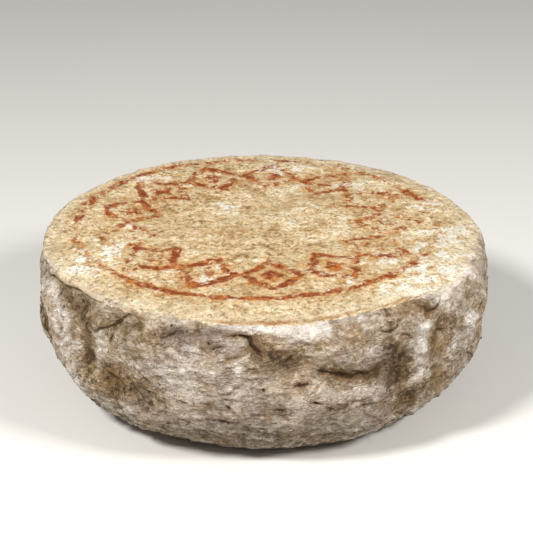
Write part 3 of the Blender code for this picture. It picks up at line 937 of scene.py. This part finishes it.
def natural_rind():
    """Natural rind, grown by mould in a cellar and brushed: dry and matt, cream and cloth-pressed on the
    top, and grey-white dust over brown, flaking crust on the side."""
    material = bpy.data.materials.new("natural_rind")
    material.use_nodes = True
    tree = material.node_tree
    shader = tree.nodes["Principled BSDF"]
    shader.inputs["Roughness"].default_value = 0.88
    shader.inputs["Specular IOR Level"].default_value = 0.3
    place = add_node(tree, "TexCoord", out="Object")
    notes = {name: add_node(tree, "Attribute", out="Fac", attribute_name=name) for name in NOTES}
    stains = stain_shares(tree, place, notes["ink_left"])
    pits = pit_share(tree, place)
    leaning = add_node(tree, "Mapping", {"Vector": place, "Rotation": (0, atan(STREAK_SLOPE), 0)})
    foot_crust = summed(tree, place, FOOT_CRUST)
    foot_crust = weighted(tree, -0.5 * FOOT_GAIN, [(foot_crust, 1 + FOOT_GAIN)])
    crust = add_node(
        tree, "Mix", {"Factor": notes["foot"], "A": summed(tree, leaning, SIDE_CRUST), "B": foot_crust},
        data_type="FLOAT",
    )
    scales = scale_heights(tree, leaning)
    patched = add_node(
        tree, "Mix", {"Factor": stains["scale_patch"], "A": 0.5, "B": scales}, data_type="FLOAT"
    )
    skin = summed(tree, place, TOP_SKIN)

    top = top_skin_colour(tree, place, skin, stains, notes)
    side = side_mould_colour(tree, crust, patched, stains, notes, pits)
    edge = weighted(tree, notes["side_share"], [(stains["crumb"], 0.5)])
    edge = add_node(
        tree, "MapRange", {"Value": edge, "From Min": 0.3, "From Max": 1.2},
        interpolation_type="SMOOTHSTEP",
    )
    rind = add_node(tree, "Mix", {"Factor": edge, "A": top, "B": side}, data_type="RGBA")
    # Painted shade along the cracks: a soft brown halo round each and a dark line down it, wider and
    # darker where the crack is deeper
    near = add_node(tree, "Math", {0: notes["crack_across_mm"]}, operation="ABSOLUTE")
    near = weighted(tree, near, [(stains["crumb"], 0.55)])
    deep = weighted(tree, near, [(notes["crack_depth"], -0.17)])
    line = add_node(tree, "MapRange", {"Value": deep, "From Min": 0.75, "From Max": 0.3})
    shade = add_node(tree, "MapRange", {"Value": near, "From Min": 2.6, "From Max": 0.6})
    layers = []
    for share, hex_colour, cover in ((shade, "#6E5435", 0.5), (line, "#3E2A13", 0.92)):
        inputs = {0: share, 1: notes["crack_depth"]}
        share = add_node(tree, "Math", inputs, operation="MULTIPLY", use_clamp=True)
        layers.append((share, hex_colour, cover))
    colour = laid_over(tree, rind, layers)
    tree.links.new(colour, shader.inputs["Base Color"])

    # The fine relief, in millimetres
    side_parts = (
        (crust, 3.0), (patched, 0.35), (stains["large_flake"], 0.30), (stains["small_flake"], 0.25),
        (stains["fine_flake"], 0.18), (pits, -0.6),
    )
    top_parts = (
        (skin, 5.5), (stains["small_flake"], 0.25), (stains["fine_flake"], 0.20),
        (stains["fleck"], -0.15),
    )
    side_height = weighted(tree, -0.5 * sum(weight for _, weight in side_parts), side_parts)
    top_height = weighted(tree, -0.5 * sum(weight for _, weight in top_parts), top_parts)
    height = add_node(
        tree, "Mix", {"Factor": notes["relief_share"], "A": top_height, "B": side_height},
        data_type="FLOAT",
    )
    bump = add_node(tree, "Bump", {"Height": height, "Distance": MM, "Strength": 1.0})
    tree.links.new(bump, shader.inputs["Normal"])
    return material


# Loose flakes on the side's crust, with their widths in metres, and the least and greatest shares of
# its width that a flake measures along each of its axes
FLAKE_INPUTS = {
    "Flakes per square metre": ("NodeSocketFloat", 50000),
    "Least width": ("NodeSocketFloat", 0.0010),
    "Greatest width": ("NodeSocketFloat", 0.0026),
    "Thickness share": ("NodeSocketFloat", 0.32),
    "Greatest tip": ("NodeSocketFloat", radians(20)),
    "Seed": ("NodeSocketInt", 3),
}
FLAKE_SHAPES = ((0.7, 0.35, 0.6), (1.3, 0.8, 1.3))


def flake_recipe(material):
    """Chips of dry mould scattered over the side, thickest in patches and none close to the cracks."""
    tree = bpy.data.node_groups.new("rind_flakes", "GeometryNodeTree")
    tree.interface.new_socket("Geometry", in_out="OUTPUT", socket_type="NodeSocketGeometry")
    tree.interface.new_socket("Geometry", in_out="INPUT", socket_type="NodeSocketGeometry")
    for name, (kind, _) in FLAKE_INPUTS.items():
        tree.interface.new_socket(name, in_out="INPUT", socket_type=kind)
    given = tree.nodes.new("NodeGroupInput").outputs
    bed = add_node(tree, "GeometryNodeInputNamedAttribute", {"Name": "flake_bed"}, data_type="FLOAT")
    density = add_node(
        tree, "Math", {0: bed, 1: given["Flakes per square metre"]}, operation="MULTIPLY"
    )
    scatter = add_node(
        tree, "GeometryNodeDistributePointsOnFaces",
        {"Mesh": given["Geometry"], "Density": density, "Seed": given["Seed"]},
    )
    spin, width, shape = [
        add_node(
            tree, "FunctionNodeRandomValue", {"Min": least, "Max": most, "Seed": given["Seed"]},
            data_type=kind,
        )
        for least, most, kind in (
            ((0, 0, 0), (0, 0, 2 * pi), "FLOAT_VECTOR"),
            (given["Least width"], given["Greatest width"], "FLOAT"),
            (*FLAKE_SHAPES, "FLOAT_VECTOR"),
        )
    ]
    tip = add_node(tree, "CombineXYZ", {"X": given["Greatest tip"]})
    turned = add_node(
        tree, "FunctionNodeRotateRotation",
        {"Rotation": scatter.node.outputs["Rotation"], "Rotate By": spin}, rotation_space="LOCAL",
    )
    tipped = add_node(
        tree, "FunctionNodeRotateRotation", {"Rotation": turned, "Rotate By": tip},
        rotation_space="LOCAL",
    )
    chip = add_node(tree, "GeometryNodeMeshIcoSphere", {"Radius": 0.5, "Subdivisions": 1})
    thin = add_node(tree, "CombineXYZ", {"X": 1.0, "Y": 1.0, "Z": given["Thickness share"]})
    shape = add_node(tree, "VectorMath", {0: shape, 1: thin}, operation="MULTIPLY")
    scale = add_node(tree, "VectorMath", {0: shape, "Scale": width}, operation="SCALE")
    chips = add_node(
        tree, "GeometryNodeInstanceOnPoints",
        {"Points": scatter, "Instance": chip, "Rotation": tipped, "Scale": scale},
    )
    loose = add_node(tree, "GeometryNodeRealizeInstances", {"Geometry": chips})
    finished = add_node(tree, "GeometryNodeSetMaterial", {"Geometry": loose, "Material": material})
    tree.links.new(finished, tree.nodes.new("NodeGroupOutput").inputs["Geometry"])
    return tree


def rind_flakes(skin, material):
    """The flakes as a plain mesh of their own."""
    tree = flake_recipe(material)
    maker = skin.modifiers.new("flakes", "NODES")
    maker.node_group = tree
    for socket in tree.interface.items_tree:
        if socket.in_out == "INPUT" and socket.name in FLAKE_INPUTS:
            maker[socket.identifier] = FLAKE_INPUTS[socket.name][1]
    graph = bpy.context.evaluated_depsgraph_get()
    mesh = bpy.data.meshes.new_from_object(skin.evaluated_get(graph))
    skin.modifiers.clear()
    mesh.name = "rind_flakes"
    return new_object("rind_flakes", mesh)


# The camera, worked out from the wheel's outline in the photograph and given in wheel radii
CAMERA_DISTANCE = 8.0
CAMERA_PITCH = radians(27.21)
AIM_HEIGHT = 0.501
AIM_RIGHT = 0.010
FOCAL_SHARE = 3.312
SENSOR_MM = 36.0


def set_camera():
    """Looks down on the front of the wheel as the photograph does."""
    camera = new_object("camera", bpy.data.cameras.new("camera"))
    reach = CAMERA_DISTANCE * RADIUS
    camera.location = (AIM_RIGHT * RADIUS, -reach * cos(CAMERA_PITCH), reach * sin(CAMERA_PITCH))
    look = Vector((AIM_RIGHT * RADIUS, 0, AIM_HEIGHT * RADIUS)) - camera.location
    camera.rotation_euler = look.to_track_quat("-Z", "Y").to_euler()
    camera.data.sensor_width = SENSOR_MM
    camera.data.lens = FOCAL_SHARE * SENSOR_MM
    bpy.context.scene.camera = camera


# The soft lamps, from above on the left and weaker from the right: where each stands and how wide it is,
# in metres, and its power in watts; then the place that both light, and the strength of the pale world
LAMPS = {"key": ((-0.5, -0.5, 0.75), 0.2, 11.5), "fill": ((0.7, -0.45, 0.65), 0.25, 9.5)}
LAMP_AIM = Vector((0, 0, 0.03))
WORLD_STRENGTH = 0.32


def set_studio():
    """A pale floor, the lamps and a pale world."""
    shape = bmesh.new()
    bmesh.ops.create_grid(shape, x_segments=1, y_segments=1, size=3.0)
    mesh = bpy.data.meshes.new("floor")
    shape.to_mesh(mesh)
    shape.free()
    floor = new_object("floor", mesh)
    paint = bpy.data.materials.new("floor_paint")
    paint.use_nodes = True
    shader = paint.node_tree.nodes["Principled BSDF"]
    shader.inputs["Base Color"].default_value = linear("#D6D3CD")
    shader.inputs["Roughness"].default_value = 0.8
    mesh.materials.append(paint)
    for name, (place, width, power) in LAMPS.items():
        light = bpy.data.lights.new(name, "AREA")
        light.shape = "DISK"
        light.size = width
        light.energy = power
        holder = new_object(name, light)
        holder.location = place
        holder.rotation_euler = (LAMP_AIM - Vector(place)).to_track_quat("-Z", "Y").to_euler()
    world = bpy.data.worlds.new("world")
    world.use_nodes = True
    background = world.node_tree.nodes["Background"]
    background.inputs["Color"].default_value = linear("#E8E8E8")
    background.inputs["Strength"].default_value = WORLD_STRENGTH
    bpy.context.scene.world = world
    bpy.context.scene.view_settings.view_transform = "Standard"


set_camera()
set_studio()
finish = natural_rind()
rind = dress_skin()
rind.data.materials.clear()
rind.data.materials.append(finish)
flakes = rind_flakes(rind, finish)
for piece in (rind, flakes):
    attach(piece, "root")
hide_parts(SOLID)

bpy.context.view_layer.update()
